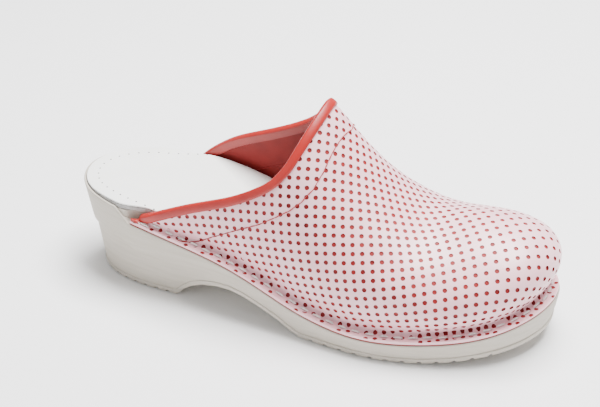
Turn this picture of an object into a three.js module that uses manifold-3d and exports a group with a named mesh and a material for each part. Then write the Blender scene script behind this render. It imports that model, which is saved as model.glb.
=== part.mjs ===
// A closed-toe, open-back clog for the right foot.
// Millimetres. +X runs from heel to toe, +Y to the inner (medial) side, +Z up.
// While the pieces are made, x is 0 at the back of the heel and z is 0 on the floor. At the
// end the group is moved so that its origin is the middle of the bottom of the whole clog.
import * as THREE from 'three';
import Module from 'manifold-3d';
import { mergeVertices } from 'three/addons/utils/BufferGeometryUtils.js';

const wasm = await Module();
wasm.setup();

// Driving sizes
const soleLength = 264;
const ballWidth = 96;        // sole width over the ball, the unit of the outline's shares
const heelHeight = 52;       // floor to the top of the heel cup's rim
const throatHeight = 113;    // floor to the collar over the instep
const toeOffset = 8;         // how far the toe's tip lies to the inner side
const leather = 2.0;         // wall of the upper
const flangeWidth = 6.8;     // the upper's edge, turned out and stitched down on the sole
const filletRadius = 1.4;    // bend between the flange and the wall
const clearance = 0.3;       // between curved pieces that touch
const edgeMargin = 0.7;      // sole that shows outside the flange
const rimWidth = 1.4;        // heel cup's rim
const coverThickness = 0.9;  // insole's leather
const boardThickness = 2.0;  // stiff layer under it
const boardGap = 0.8;        // air between board and pedestal where the rim is cut away
const boardOverhang = 1.6;   // board past the pedestal's edge
const bindingThickness = 1.0;
const bindingGap = 0.45;     // between the binding and the leather that it is folded over
const bindingOuterLeg = 3.6; // binding seen on the outside
const bindingInnerLeg = 4.4;
const grooveWidth = 2.6;     // tread
const grooveDepth = 1.8;
const heelGroovePitch = 7.2;
const foreGroovePitch = 8.4;
const archRise = 14.4;       // floor to the underside's highest point
const toeSpring = 8.5;       // floor to the underside at the toe's tip
const bandHeight = 3.2;      // lower band round the sole
const bandStep = 0.6;        // how far that band stands out
const heelStepDepth = 1.3;   // the heel's upper part stands out from its lower part
const heelStepSlope = 2;     // height over which it comes back
const heelLean = 9.6;        // how far the back of the heel leans in at the floor
const bottomBevel = 1.3;     // between the sole's wall and its tread
const topBevel = 0.6;        // between the sole's wall and its rim
const rimFall = 2.0;         // the rim is this much lower where it ends than at the back
const insoleRise = 0.7;      // rim's top up to the insole's face at the back

// A table with named columns
function table(columns, rows) {
  const byName = {};
  columns.forEach((name, i) => { byName[name] = rows.map((row) => row[i]); });
  return byName;
}

// Natural cubic spline through the points (xs, ys), held level past both ends
function spline(xs, ys) {
  const n = xs.length;
  const upper = new Array(n).fill(0);
  const right = new Array(n).fill(0);
  const bend = new Array(n).fill(0);
  for (let i = 1; i < n - 1; i++) {
    const before = xs[i] - xs[i - 1];
    const after = xs[i + 1] - xs[i];
    const slopes = (ys[i + 1] - ys[i]) / after - (ys[i] - ys[i - 1]) / before;
    const pivot = 2 * (before + after) - before * upper[i - 1];
    upper[i] = after / pivot;
    right[i] = (6 * slopes - before * right[i - 1]) / pivot;
  }
  for (let i = n - 2; i > 0; i--) bend[i] = right[i] - upper[i] * bend[i + 1];
  return (at) => {
    const x = Math.min(Math.max(at, xs[0]), xs[n - 1]);
    let i = 0;
    while (i < n - 2 && x > xs[i + 1]) i++;
    const h = xs[i + 1] - xs[i];
    const a = (xs[i + 1] - x) / h;
    const b = 1 - a;
    const curved = ((a ** 3 - a) * bend[i] + (b ** 3 - b) * bend[i + 1]) * h * h / 6;
    return a * ys[i] + b * ys[i + 1] + curved;
  };
}

// Straight steps between the rows of a table
function ramp(xs, ys) {
  return (at) => {
    let i = 0;
    while (i < xs.length - 2 && at > xs[i + 1]) i++;
    const f = THREE.MathUtils.clamp((at - xs[i]) / (xs[i + 1] - xs[i]), 0, 1);
    return ys[i] + (ys[i + 1] - ys[i]) * f;
  };
}

const smooth = THREE.MathUtils.smoothstep;
const lerp = THREE.MathUtils.lerp;

// Sole outline: half widths from the centre line, as shares of the ball width
const outline = table(['along', 'lateral', 'medial'], [
  [0.00, 0.000, 0.000],
  [0.03, 0.212, 0.196],
  [0.09, 0.322, 0.303],
  [0.14, 0.366, 0.348],
  [0.19, 0.385, 0.378],
  [0.27, 0.395, 0.388],
  [0.38, 0.424, 0.372],
  [0.48, 0.456, 0.378],
  [0.58, 0.498, 0.414],
  [0.68, 0.536, 0.464],
  [0.78, 0.520, 0.488],
  [0.86, 0.466, 0.456],
  [0.93, 0.365, 0.351],
  [0.98, 0.205, 0.198],
  [1.00, 0.000, 0.000],
]);
const squares = (column) => spline(outline.along, column.map((share) => share * share));
const halfSquare = { lateral: squares(outline.lateral), medial: squares(outline.medial) };
const sign = { lateral: -1, medial: 1 };

function centreLine(along) {
  return toeOffset * smooth(along, 0.5, 1);
}

function outlinePoint(side, along) {
  const half = ballWidth * Math.sqrt(Math.max(halfSquare[side](along), 0));
  return [along * soleLength, centreLine(along) + sign[side] * half];
}

// A point that lies a distance inside the outline, square to it
function insetPoint(side, along, distance) {
  const [x, y] = outlinePoint(side, along);
  const turn = Math.acos(1 - 2 * along);
  const step = 0.01;
  const share = (angle) => (1 - Math.cos(THREE.MathUtils.clamp(angle, 0, Math.PI))) / 2;
  const a = outlinePoint(side, share(turn - step));
  const b = outlinePoint(side, share(turn + step));
  let normal = [-(b[1] - a[1]), b[0] - a[0]].map((v) => -v * sign[side]);
  if (along < 1e-6) normal = [1, 0];
  if (along > 1 - 1e-6) normal = [-1, 0];
  const size = Math.hypot(...normal);
  return [x + normal[0] / size * distance, y + normal[1] / size * distance];
}

// Heights along the shoe, as shares of the heel height. The ledge carries the flange, and on
// the inner side it rises over the arch.
const ledge = table(['along', 'height', 'medialRise'], [
  [0.14, 0.820, 0.000],
  [0.19, 0.780, 0.060],
  [0.27, 0.695, 0.125],
  [0.40, 0.555, 0.140],
  [0.52, 0.340, 0.060],
  [0.65, 0.225, 0.000],
  [0.78, 0.250, 0.000],
  [0.90, 0.335, 0.000],
  [1.00, 0.480, 0.000],
]);
const ledgeLine = spline(ledge.along, ledge.height);
const ledgeRise = spline(ledge.along, ledge.medialRise);

function ledgeHeight(side, along) {
  return heelHeight * (ledgeLine(along) + (side === 'medial' ? ledgeRise(along) : 0));
}

// Top of the insole over the ledge, as a share of the heel height
const footbed = table(['along', 'rise'], [
  [0.14, 0.165],
  [0.20, 0.190],
  [0.28, 0.215],
  [0.36, 0.215],
  [0.50, 0.175],
  [0.70, 0.110],
  [1.00, 0.100],
]);
const footbedRise = spline(footbed.along, footbed.rise);

function insoleTop(side, along) {
  const forward = ledgeHeight(side, along) + heelHeight * footbedRise(along);
  return lerp(heelHeight + insoleRise, forward, smooth(along, 0.1, 0.24));
}

// The heel cup's rim ends in a short slope down to the ledge
const rimEnd = 0.126;
const ledgeStart = 0.160;

function soleTop(side, along) {
  const rim = heelHeight - rimFall * along / rimEnd;
  const share = THREE.MathUtils.clamp((along - rimEnd) / (ledgeStart - rimEnd), 0, 1);
  return lerp(rim, ledgeHeight(side, along), share);
}

// Underside along the shoe: share of the arch's rise, then share of the toe spring
const underside = table(['along', 'arch', 'spring'], [
  [0.000, 0.00, 0.00],
  [0.248, 0.00, 0.00],
  [0.256, 0.12, 0.00],
  [0.266, 0.32, 0.00],
  [0.284, 0.57, 0.00],
  [0.310, 0.79, 0.00],
  [0.345, 0.95, 0.00],
  [0.380, 1.00, 0.00],
  [0.410, 0.91, 0.00],
  [0.450, 0.68, 0.00],
  [0.490, 0.41, 0.00],
  [0.515, 0.17, 0.00],
  [0.540, 0.00, 0.00],
  [0.720, 0.00, 0.00],
  [0.780, 0.00, 0.06],
  [0.850, 0.00, 0.28],
  [0.920, 0.00, 0.62],
  [1.000, 0.00, 1.00],
]);
const archLine = ramp(underside.along, underside.arch);
const springLine = ramp(underside.along, underside.spring);

function undersideHeight(along) {
  return archRise * archLine(along) + toeSpring * springLine(along);
}

// How far the sole's wall leans in at the floor, as a share of the lean at the back
const lean = table(['along', 'foot'], [
  [0.00, 1.00],
  [0.03, 0.83],
  [0.09, 0.67],
  [0.25, 0.65],
  [0.40, 0.42],
  [0.55, 0.27],
  [1.00, 0.25],
]);
const leanIn = ramp(lean.along, lean.foot);

// Flange: narrow at the tail of each wing
function flangeAt(along) {
  return lerp(0.55 * flangeWidth, flangeWidth, smooth(along, 0.18, 0.36));
}

// The upper's ridge from behind the throat to the pole that the toe's ribs run to
const ridge = table(['along', 'height', 'inward'], [
  [0.16, 0.860, 0.2],
  [0.30, 0.950, 0.3],
  [0.42, 1.000, 0.5],
  [0.53, 1.000, 0.7],
  [0.57, 0.896, 0.8],
  [0.61, 0.780, 0.9],
  [0.67, 0.634, 1.0],
  [0.74, 0.539, 1.2],
  [0.80, 0.539, 1.3],
]);
const ridgeLine = spline(ridge.along, ridge.height);
const ridgeInward = spline(ridge.along, ridge.inward);
const throatAlong = 0.530;
const pole = 0.79;

function ridgePoint(along) {
  return [along * soleLength, toeOffset * ridgeInward(along), throatHeight * ridgeLine(along)];
}

// Rise of the ridge for each millimetre forward
function ridgeSlope(along) {
  const step = 0.005;
  const [behind, ahead] = [along - step, along + step].map(ridgePoint);
  return (ahead[2] - behind[2]) / (ahead[0] - behind[0]);
}

// Ribs stand square to the shoe back to front, and past this share they fan towards the pole
const fanStart = 0.5;

function ribTop(along) {
  if (along <= fanStart) return ridgePoint(along);
  const u = (along - fanStart) / (1 - fanStart);
  const rate = (1 - fanStart) / (pole - fanStart);
  const eased = rate * (u - 2 * u * u + u ** 3) + 3 * u * u - 2 * u ** 3;
  return ridgePoint(lerp(fanStart, pole, eased));
}

// Shape of each rib: how upright it starts, how flat it ends, and how far it swells, as
// shares of its height, its width and the ball width. Both sides share the toe's last rib.
const ribs = table(['along', 'upright', 'crown', 'lateralSwell', 'medialSwell'], [
  [0.16, 0.34, 0.40, 0.080, 0.060],
  [0.35, 0.40, 0.46, 0.100, 0.060],
  [0.50, 0.44, 0.52, 0.130, 0.070],
  [0.60, 0.47, 0.54, 0.151, 0.085],
  [0.70, 0.60, 0.64, 0.168, 0.125],
  [0.85, 0.56, 0.62, 0.207, 0.184],
  [1.00, 0.98, 0.60, 0.226, 0.226],
]);
const upright = spline(ribs.along, ribs.upright);
const crown = spline(ribs.along, ribs.crown);
const swell = {
  lateral: spline(ribs.along, ribs.lateralSwell),
  medial: spline(ribs.along, ribs.medialSwell),
};

// The leather's outer face. level -1 is the flange's outer edge, from -0.4 to 0 it bends up,
// and from 0 to 1 it is the wall, from its foot to the ridge.
function leatherPoint(side, along, level) {
  const flange = flangeAt(along);
  const top = ledgeHeight(side, along) + clearance + leather;
  if (level < 0) {
    const bendStart = flange - filletRadius;
    if (level < -0.4) {
      const share = (level + 1) / 0.6;
      const [x, y] = insetPoint(side, along, lerp(edgeMargin, bendStart, share));
      return new THREE.Vector3(x, y, top);
    }
    const angle = (level + 0.4) / 0.4 * Math.PI / 2;
    const [x, y] = insetPoint(side, along, bendStart + filletRadius * Math.sin(angle));
    return new THREE.Vector3(x, y, top + filletRadius * (1 - Math.cos(angle)));
  }
  const [x0, y0] = insetPoint(side, along, flange);
  const [ox, oy] = insetPoint(side, along, flange - swell[side](along) * ballWidth);
  const z0 = top + filletRadius;
  const [x3, y3, z3] = ribTop(along);
  const rise = (z3 - z0) * upright(along);
  const flat = crown(along);
  const slope = ridgeSlope(x3 / soleLength);
  const curve = new THREE.CubicBezierCurve3(
    new THREE.Vector3(x0, y0, z0),
    new THREE.Vector3(ox, oy, z0 + rise),
    new THREE.Vector3(lerp(x3, x0, flat), lerp(y3, y0, flat), z3 + slope * (x0 - x3) * flat),
    new THREE.Vector3(x3, y3, z3),
  );
  return curve.getPoint(level);
}

// Outward normal of the leather's face, by small steps. Every rib ends level across the
// ridge, so the ridge's own slope gives it there. At the toe's tip it is the mean of both sides.
function oneSidedNormal(side, along, level) {
  const step = 0.004;
  const a = leatherPoint(side, Math.max(along - step, 0), level);
  const b = leatherPoint(side, Math.min(along + step, 1), level);
  const high = Math.min(level + step, 1);
  const c = leatherPoint(side, along, high - 2 * step);
  const d = leatherPoint(side, along, high);
  const normal = b.sub(a).cross(d.sub(c)).normalize();
  return side === 'medial' ? normal.negate() : normal;
}

function leatherNormal(side, along, level) {
  if (level > 1 - 1e-6) {
    return new THREE.Vector3(-ridgeSlope(ribTop(along)[0] / soleLength), 0, 1).normalize();
  }
  if (along < 1 - 1e-6) return oneSidedNormal(side, along, level);
  const lateral = oneSidedNormal('lateral', along, level);
  return lateral.add(oneSidedNormal('medial', along, level)).normalize();
}

// The collar starts at the flange's outer edge and crosses it in a short tail
const tail = table(['along', 'level'], [
  [0.163, -0.80],
  [0.172, -0.35],
  [0.184, 0.00],
]);

// From there it is drawn from the side, as heights in shares of the throat's
const collar = table(['along', 'lateral', 'medial'], [
  [0.184, 0.405, 0.400],
  [0.200, 0.425, 0.440],
  [0.240, 0.470, 0.520],
  [0.290, 0.520, 0.600],
  [0.340, 0.565, 0.660],
  [0.390, 0.615, 0.715],
  [0.440, 0.680, 0.775],
  [0.480, 0.760, 0.840],
  [0.505, 0.850, 0.900],
]);
const collarHeight = {
  lateral: spline(collar.along, collar.lateral),
  medial: spline(collar.along, collar.medial),
};
const tailLevel = ramp(tail.along, tail.level);
const tailEnd = tail.along.at(-1);

// Level of the collar at a station: by the table along the wing, found by halving because
// the table gives a height, and then round into the throat
const neckStart = 0.494;

function collarLevel(side, along) {
  if (along >= throatAlong) return 1;
  if (along < tailEnd) return tailLevel(along);
  if (along > neckStart) {
    const left = (throatAlong - along) / (throatAlong - neckStart);
    return 1 - (1 - collarLevel(side, neckStart)) * Math.sqrt(left);
  }
  const wanted = throatHeight * collarHeight[side](along);
  let low = 0;
  let high = 1;
  for (let i = 0; i < 30; i++) {
    const middle = (low + high) / 2;
    if (leatherPoint(side, along, middle).z < wanted) low = middle; else high = middle;
  }
  return low;
}

// Corners that lie together become one, and triangles that are then too thin are left out
const sameCorner = 1e-3;

function joined(geometry) {
  const merged = mergeVertices(geometry, sameCorner);
  const old = merged.index.array;
  const index = [];
  for (let i = 0; i < old.length; i += 3) {
    const [a, b, c] = old.subarray(i, i + 3);
    if (a !== b && b !== c && c !== a) index.push(a, b, c);
  }
  merged.setIndex(index);
  return merged;
}

// A closed mesh from corner points and faces of three corners
function closedMesh(points, faces) {
  const geometry = new THREE.BufferGeometry();
  const flat = new Float32Array(points.flatMap((p) => [p.x, p.y, p.z]));
  geometry.setAttribute('position', new THREE.BufferAttribute(flat, 3));
  geometry.setIndex(faces.flat());
  return joined(geometry);
}

// Faces point out, whichever way round the mesh was made
function facingOut(geometry) {
  const p = geometry.attributes.position;
  const index = geometry.index.array;
  const corner = (i) => new THREE.Vector3().fromBufferAttribute(p, i);
  let volume = 0;
  for (let i = 0; i < index.length; i += 3) {
    volume += corner(index[i]).dot(corner(index[i + 1]).cross(corner(index[i + 2])));
  }
  if (volume > 0) return geometry;
  for (let i = 0; i < index.length; i += 3) {
    [index[i], index[i + 1]] = [index[i + 1], index[i]];
  }
  return geometry;
}

// Quads between two rows of points, as pairs of triangles
function strip(faces, rowA, rowB) {
  for (let i = 0; i + 1 < rowA.length; i++) {
    faces.push([rowA[i], rowA[i + 1], rowB[i + 1]], [rowA[i], rowB[i + 1], rowB[i]]);
  }
}

// Evenly spaced numbers from a to b
function steps(a, b, count) {
  return Array.from({ length: count + 1 }, (_, i) => lerp(a, b, i / count));
}

// Grooves of the tread: share of the length at the first and last, and their pitch
const treadZones = [[0.065, 0.24, heelGroovePitch], [0.565, 0.93, foreGroovePitch]];

// Shares of the length where the sole is cut into sections: dense round heel and toe, at the
// rim's end and at the heel's front
const heelArc = steps(0, 1, 9).map((f) => 0.1 * (1 - Math.cos(f * Math.PI / 2)));
const toeArc = steps(0, 1, 10).map((f) => 0.85 + 0.15 * Math.sin(f * Math.PI / 2));
const soleStations = [
  ...heelArc, ...steps(0.1, rimEnd, 2).slice(1), ...steps(rimEnd, ledgeStart, 4).slice(1),
  ...steps(ledgeStart, 0.248, 4).slice(1), 0.256, 0.266, 0.284,
  ...steps(0.31, 0.55, 9), ...steps(0.55, 0.85, 8).slice(1), ...toeArc.slice(1),
];

// Edge of insole and board: inside the rim at the heel, and forward inside the wall
function insoleInset(side, along) {
  const plain = flangeAt(along) + leather + bindingGap + bindingThickness + clearance;
  return lerp(rimWidth + clearance, plain, smooth(along, 0.13, 0.2));
}

// The sole's section at a station, from the floor up to the pedestal under the board
const heelStepShare = 0.56;  // height of the heel's step
const wallDraft = 0.1;       // slope of the rim's inner wall

function soleSection(side, along) {
  const bottom = undersideHeight(along);
  const top = soleTop(side, along);
  const foot = heelLean * leanIn(along);
  const band = bottom + bandHeight;
  const stepAt = lerp(bottom, top, heelStepShare);
  const heelShare = 1 - smooth(along, 0.19, 0.25);
  const leanAt = (z) => foot * (1 - (z - bottom) / (top - bottom));
  const past = smooth(along, lerp(rimEnd, ledgeStart, 0.5), ledgeStart);
  const inside = lerp(rimWidth, insoleInset(side, along) + boardOverhang, past);
  const floor = insoleTop(side, along) - coverThickness - clearance - boardThickness
    - lerp(clearance, boardGap, past);
  const rows = [
    [foot + bottomBevel, bottom],
    [leanAt(bottom + bottomBevel), bottom + bottomBevel],
    [leanAt(band), band],
    [leanAt(band + bandStep) + bandStep, band + bandStep],
    [leanAt(stepAt) + heelStepDepth * heelShare, stepAt],
    [leanAt(stepAt + heelStepSlope), stepAt + heelStepSlope],
    [0, top - topBevel],
    [topBevel, top],
    [inside - wallDraft, top],
    [inside, floor],
  ];
  return rows.map(([inset, z]) => new THREE.Vector3(...insetPoint(side, along, inset), z));
}

// A solid from two mirrored sets of sections that meet at both ends, closed above and below
function sectionSolid(stations, section) {
  const points = [];
  const grid = { lateral: [], medial: [] };
  for (const side of ['lateral', 'medial']) {
    for (const along of stations) {
      const row = section(side, along).map((point) => points.push(point) - 1);
      grid[side].push(row);
    }
  }
  const faces = [];
  const last = grid.lateral[0].length - 1;
  for (let i = 0; i + 1 < stations.length; i++) {
    strip(faces, grid.lateral[i + 1], grid.lateral[i]);
    strip(faces, grid.medial[i], grid.medial[i + 1]);
    for (const [edge, up] of [[0, false], [last, true]]) {
      const cap = [];
      const across = [grid.lateral[i][edge], grid.medial[i][edge]];
      strip(cap, across, [grid.lateral[i + 1][edge], grid.medial[i + 1][edge]]);
      faces.push(...cap.map((face) => (up ? face.reverse() : face)));
    }
  }
  return closedMesh(points, faces);
}

// Rounded V grooves straight across the tread, each as deep at the toe as at the ball
function treadCutters() {
  const profile = new THREE.Shape();
  profile.moveTo(-grooveWidth / 2, -grooveDepth);
  profile.lineTo(grooveWidth / 2, -grooveDepth);
  profile.lineTo(grooveWidth / 2, 0);
  profile.lineTo(grooveWidth / 4, grooveDepth);
  profile.lineTo(-grooveWidth / 4, grooveDepth);
  profile.lineTo(-grooveWidth / 2, 0);
  const places = [];
  for (const [first, last, pitch] of treadZones) {
    for (let x = first * soleLength; x < last * soleLength; x += pitch) places.push(x);
  }
  return places.map((x) => {
    const cutter = new THREE.ExtrudeGeometry(profile, { depth: 2 * ballWidth, bevelEnabled: false });
    cutter.rotateX(Math.PI / 2);
    return cutter.translate(x, ballWidth, undersideHeight(x / soleLength));
  });
}

function toManifold(geometry) {
  let bare = geometry.clone();
  bare.deleteAttribute('normal');
  bare.deleteAttribute('uv');
  bare = joined(bare);
  return new wasm.Manifold(new wasm.Mesh({
    numProp: 3,
    vertProperties: new Float32Array(bare.attributes.position.array),
    triVerts: new Uint32Array(bare.index.array),
  }));
}

function fromManifold(solid) {
  const mesh = solid.getMesh();
  const geometry = new THREE.BufferGeometry();
  geometry.setAttribute('position', new THREE.BufferAttribute(mesh.vertProperties, 3));
  geometry.setIndex(new THREE.BufferAttribute(mesh.triVerts, 1));
  return geometry;
}

function makeSole() {
  let solid = toManifold(sectionSolid(soleStations, soleSection));
  for (const cutter of treadCutters()) solid = solid.subtract(toManifold(cutter));
  return fromManifold(solid);
}

// A thin layer of the footbed, a given depth under the insole's face
function makeLayer(depth, thickness) {
  return sectionSolid(soleStations, (side, along) => {
    const edge = insetPoint(side, along, insoleInset(side, along));
    const top = insoleTop(side, along) - depth;
    return [new THREE.Vector3(...edge, top - thickness), new THREE.Vector3(...edge, top)];
  });
}

// Columns of the upper's mesh: share of the length at the flange and at the collar. Round the
// throat they are spaced evenly over the ridge.
const wings = table(['foot', 'top'], [
  [0.163, 0.163], [0.172, 0.172], [0.176, 0.176], [0.180, 0.180], [0.184, 0.184],
  [0.190, 0.190], [0.199, 0.199], [0.216, 0.216],
  [0.240, 0.240], [0.270, 0.268], [0.302, 0.300], [0.335, 0.334], [0.368, 0.368],
  [0.400, 0.400], [0.428, 0.428], [0.452, 0.452], [0.475, 0.474], [0.496, neckStart],
]);
const neckFoot = wings.foot.at(-1);
const vampFoot = 0.6;
for (const f of steps(0, 1, 6).slice(1)) {
  wings.foot.push(lerp(neckFoot, vampFoot, f));
  wings.top.push(throatAlong - (throatAlong - neckStart) * (1 - f) ** 2);
}
const vampColumns = 20;
const vampShares = steps(0, 1, vampColumns).slice(1).map((f) => Math.sin(f * Math.PI / 2));
const columns = [
  ...wings.foot.map((foot, i) => ({ foot, top: wings.top[i] })),
  ...vampShares.map((f) => ({ foot: lerp(vampFoot, 1, f), top: lerp(throatAlong, 1, f) })),
];
const flangeLevels = [-1, -0.72, -0.4, -0.2, 0];
const wallRows = 12;
const fullReach = 0.3;       // collar level under which a column's rows draw together

// Points of one column on the leather's outer face, with the wall's thickness inside each.
// A room makes the leather thicker and longer all round, to cut what lies beside it.
function upperColumn(side, { foot, top }, room) {
  const reach = collarLevel(side, top);
  const count = flangeLevels.length + wallRows;
  const rows = Array.from({ length: count }, (_, j) => {
    const over = (j + 1 - flangeLevels.length) / wallRows;
    const even = lerp(-1, reach, j / (count - 1));
    const shaped = j < flangeLevels.length ? flangeLevels[j] : reach * over;
    const level = lerp(even, shaped, smooth(reach, 0, fullReach));
    const along = lerp(foot, top, Math.max(over, 0));
    const face = leatherPoint(side, along, level);
    const normal = leatherNormal(side, along, level);
    return {
      outer: face.clone().addScaledVector(normal, room),
      inner: face.clone().addScaledVector(normal, -leather - room),
    };
  });
  for (const [end, next] of [[0, 1], [count - 1, count - 2]]) {
    const longer = rows[end].outer.clone().sub(rows[next].outer).setLength(room);
    if (top < throatAlong || end === 0) {
      rows[end].outer.add(longer);
      rows[end].inner.add(longer);
    }
  }
  return rows;
}

function makeUpper(room = 0) {
  const points = [];
  const faces = [];
  for (const side of ['lateral', 'medial']) {
    const outer = [];
    const inner = [];
    for (const column of columns) {
      const rows = upperColumn(side, column, room);
      if (column === columns[0]) {
        for (const row of rows) {
          row.outer.x -= 2 * room;
          row.inner.x -= 2 * room;
        }
      }
      outer.push(rows.map((row) => points.push(row.outer) - 1));
      inner.push(rows.map((row) => points.push(row.inner) - 1));
    }
    const sideFaces = [];
    for (let i = 0; i + 1 < columns.length; i++) {
      strip(sideFaces, outer[i], outer[i + 1]);
      const lining = [];
      strip(lining, inner[i], inner[i + 1]);
      sideFaces.push(...lining.map((face) => face.reverse()));
      strip(sideFaces, [inner[i][0], outer[i][0]], [inner[i + 1][0], outer[i + 1][0]]);
      if (i + 1 < wings.foot.length) {
        const edges = [i, i + 1].map((k) => [outer[k].at(-1), inner[k].at(-1)]);
        strip(sideFaces, ...edges);
      }
    }
    strip(sideFaces, inner[0], outer[0]);
    faces.push(...sideFaces.map((face) => (side === 'medial' ? face.reverse() : face)));
  }
  return closedMesh(points, faces);
}

// A point a distance down the leather's face from the collar, square to the collar's edge
function downTheFace({ side, along, level }, edge, distance) {
  const step = 0.004;
  const at = (a, l) => leatherPoint(side, a, Math.min(l, 1));
  const alongStep = at(along + step, level).sub(at(along - step, level)).divideScalar(2 * step);
  const low = level - 2 * step;
  const levelStep = at(along, level).sub(at(along, low)).divideScalar(2 * step);
  const aa = alongStep.dot(alongStep);
  const al = alongStep.dot(levelStep);
  const ll = levelStep.dot(levelStep);
  const down = edge.clone().multiplyScalar(-distance);
  const a = down.dot(alongStep);
  const l = down.dot(levelStep);
  const whole = aa * ll - al * al;
  const newAlong = along + (a * ll - l * al) / whole;
  const newLevel = THREE.MathUtils.clamp(level + (l * aa - a * al) / whole, -1, 1);
  return {
    point: leatherPoint(side, newAlong, newLevel),
    normal: leatherNormal(side, newAlong, newLevel),
  };
}

// The binding is folded over the collar, from one wing's tail over the throat to the other.
// Its section is given as distances down the face and out from it. It is closed across the
// leather here, which is cut out of it afterwards.
function makeBinding() {
  const outside = bindingGap + bindingThickness;
  const inside = -leather - outside;
  const middle = -leather / 2;
  const edgeRadius = outside - middle;
  const round = steps(0, Math.PI, 5).map((angle) => [
    -outside * Math.sin(angle), middle + edgeRadius * Math.cos(angle),
  ]);
  const section = [
    [bindingOuterLeg, middle], [bindingOuterLeg, outside - bindingThickness / 3],
    [bindingOuterLeg - bindingThickness / 2, outside], [bindingOuterLeg / 2, outside],
    ...round,
    [bindingInnerLeg / 2, inside], [bindingInnerLeg, inside], [bindingInnerLeg, middle],
  ];
  const path = [
    ...wings.top.map((along) => ({ side: 'lateral', along })),
    ...wings.top.slice(0, -1).reverse().map((along) => ({ side: 'medial', along })),
  ].map(({ side, along }) => ({ side, along, level: collarLevel(side, along) }));
  const centres = path.map(({ side, along, level }) => leatherPoint(side, along, level));
  const rings = path.map((place, i) => {
    const normal = leatherNormal(place.side, place.along, place.level);
    const run = centres[Math.min(i + 1, path.length - 1)].clone().sub(centres[Math.max(i - 1, 0)]);
    const edge = normal.clone().cross(run).normalize();
    return section.map(([down, out]) => {
      if (down <= 0) {
        return centres[i].clone().addScaledVector(normal, out).addScaledVector(edge, -down);
      }
      const face = downTheFace(place, edge, down);
      return face.point.addScaledVector(face.normal, out);
    });
  });
  const points = rings.flat();
  const n = section.length;
  const faces = [];
  for (let i = 0; i + 1 < rings.length; i++) {
    for (let j = 0; j < n; j++) {
      const k = (j + 1) % n;
      strip(faces, [i * n + j, i * n + k], [(i + 1) * n + j, (i + 1) * n + k]);
    }
  }
  const cap = THREE.ShapeUtils.triangulateShape(section.map((p) => new THREE.Vector2(...p)), []);
  for (const [a, b, d] of cap) {
    const far = (rings.length - 1) * n;
    faces.push([a, d, b], [far + a, far + b, far + d]);
  }
  return closedMesh(points, faces);
}

// The binding with room cut out for the leather inside it and for the sole under its tails
function fitBinding(sole) {
  let solid = toManifold(facingOut(makeBinding()));
  solid = solid.subtract(toManifold(facingOut(makeUpper(bindingGap))));
  const under = toManifold(sole);
  for (const shift of [[0, 0, 1], [0, 1, 0], [0, -1, 0], [-1, 0, 0]]) {
    solid = solid.subtract(under.translate(shift.map((v) => v * clearance)));
  }
  const largest = solid.decompose().sort((a, b) => b.volume() - a.volume())[0];
  return fromManifold(largest);
}

const part = new THREE.Group();

function addPiece(name, geometry, colour, roughness) {
  const material = new THREE.MeshStandardMaterial({ color: colour, roughness, metalness: 0 });
  const mesh = new THREE.Mesh(facingOut(geometry), material);
  mesh.geometry.computeVertexNormals();
  mesh.name = name;
  part.add(mesh);
}

const sole = facingOut(makeSole());
addPiece('sole', sole, 0xdcd9d2, 0.6);
addPiece('insole_board', makeLayer(coverThickness + clearance, boardThickness), 0xb9bab8, 0.8);
addPiece('insole_cover', makeLayer(0, coverThickness), 0xf4f3ee, 0.55);
addPiece('upper', makeUpper(), 0xf3e6ea, 0.35);
addPiece('collar_binding', fitBinding(sole), 0xc23a34, 0.5);

const box = new THREE.Box3().setFromObject(part);
part.position.set(-(box.min.x + box.max.x) / 2, -(box.min.y + box.max.y) / 2, -box.min.z);

export default part;
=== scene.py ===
# A closed-toe, open-back clog for the right foot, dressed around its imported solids.
# Shapes are worked out in millimetres: x runs from the back of the heel to the toe, y to the
# inner (medial) side, z up from the floor. makeMesh moves them into the frame, in metres.
import math
import random
import bmesh
import bpy
import numpy as np
from mathutils import Matrix, Vector


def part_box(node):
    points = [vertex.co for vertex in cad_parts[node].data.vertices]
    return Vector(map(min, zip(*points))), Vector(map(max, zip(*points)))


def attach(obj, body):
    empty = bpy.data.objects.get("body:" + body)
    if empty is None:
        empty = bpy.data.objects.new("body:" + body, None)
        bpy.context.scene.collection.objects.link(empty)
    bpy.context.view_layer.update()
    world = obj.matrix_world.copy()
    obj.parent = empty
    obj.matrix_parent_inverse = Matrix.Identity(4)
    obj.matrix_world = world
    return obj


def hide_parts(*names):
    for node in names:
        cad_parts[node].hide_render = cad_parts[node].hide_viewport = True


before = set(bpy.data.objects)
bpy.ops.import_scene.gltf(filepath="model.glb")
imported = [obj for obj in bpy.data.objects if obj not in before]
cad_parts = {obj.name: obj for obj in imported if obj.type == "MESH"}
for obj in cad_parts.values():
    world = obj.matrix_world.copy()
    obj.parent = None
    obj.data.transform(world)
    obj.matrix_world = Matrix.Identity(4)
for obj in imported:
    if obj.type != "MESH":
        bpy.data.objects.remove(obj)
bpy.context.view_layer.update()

# Sizes of the whole shoe
shoe = {
    "soleLength": 264.0,
    "ballWidth": 96.0,        # unit of the outline's shares
    "heelHeight": 52.0,       # floor to the heel cup's rim
    "throatHeight": 113.0,
    "toeOffset": 8.0,
    "leather": 2.0,           # whole wall of the upper
    "flangeWidth": 6.8,
    "filletRadius": 1.4,
    "clearance": 0.3,
    "edgeMargin": 0.7,
    "throatAlong": 0.530,
    "pole": 0.79,             # where the toe's ribs meet on the ridge
    "fanStart": 0.5,
}


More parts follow.
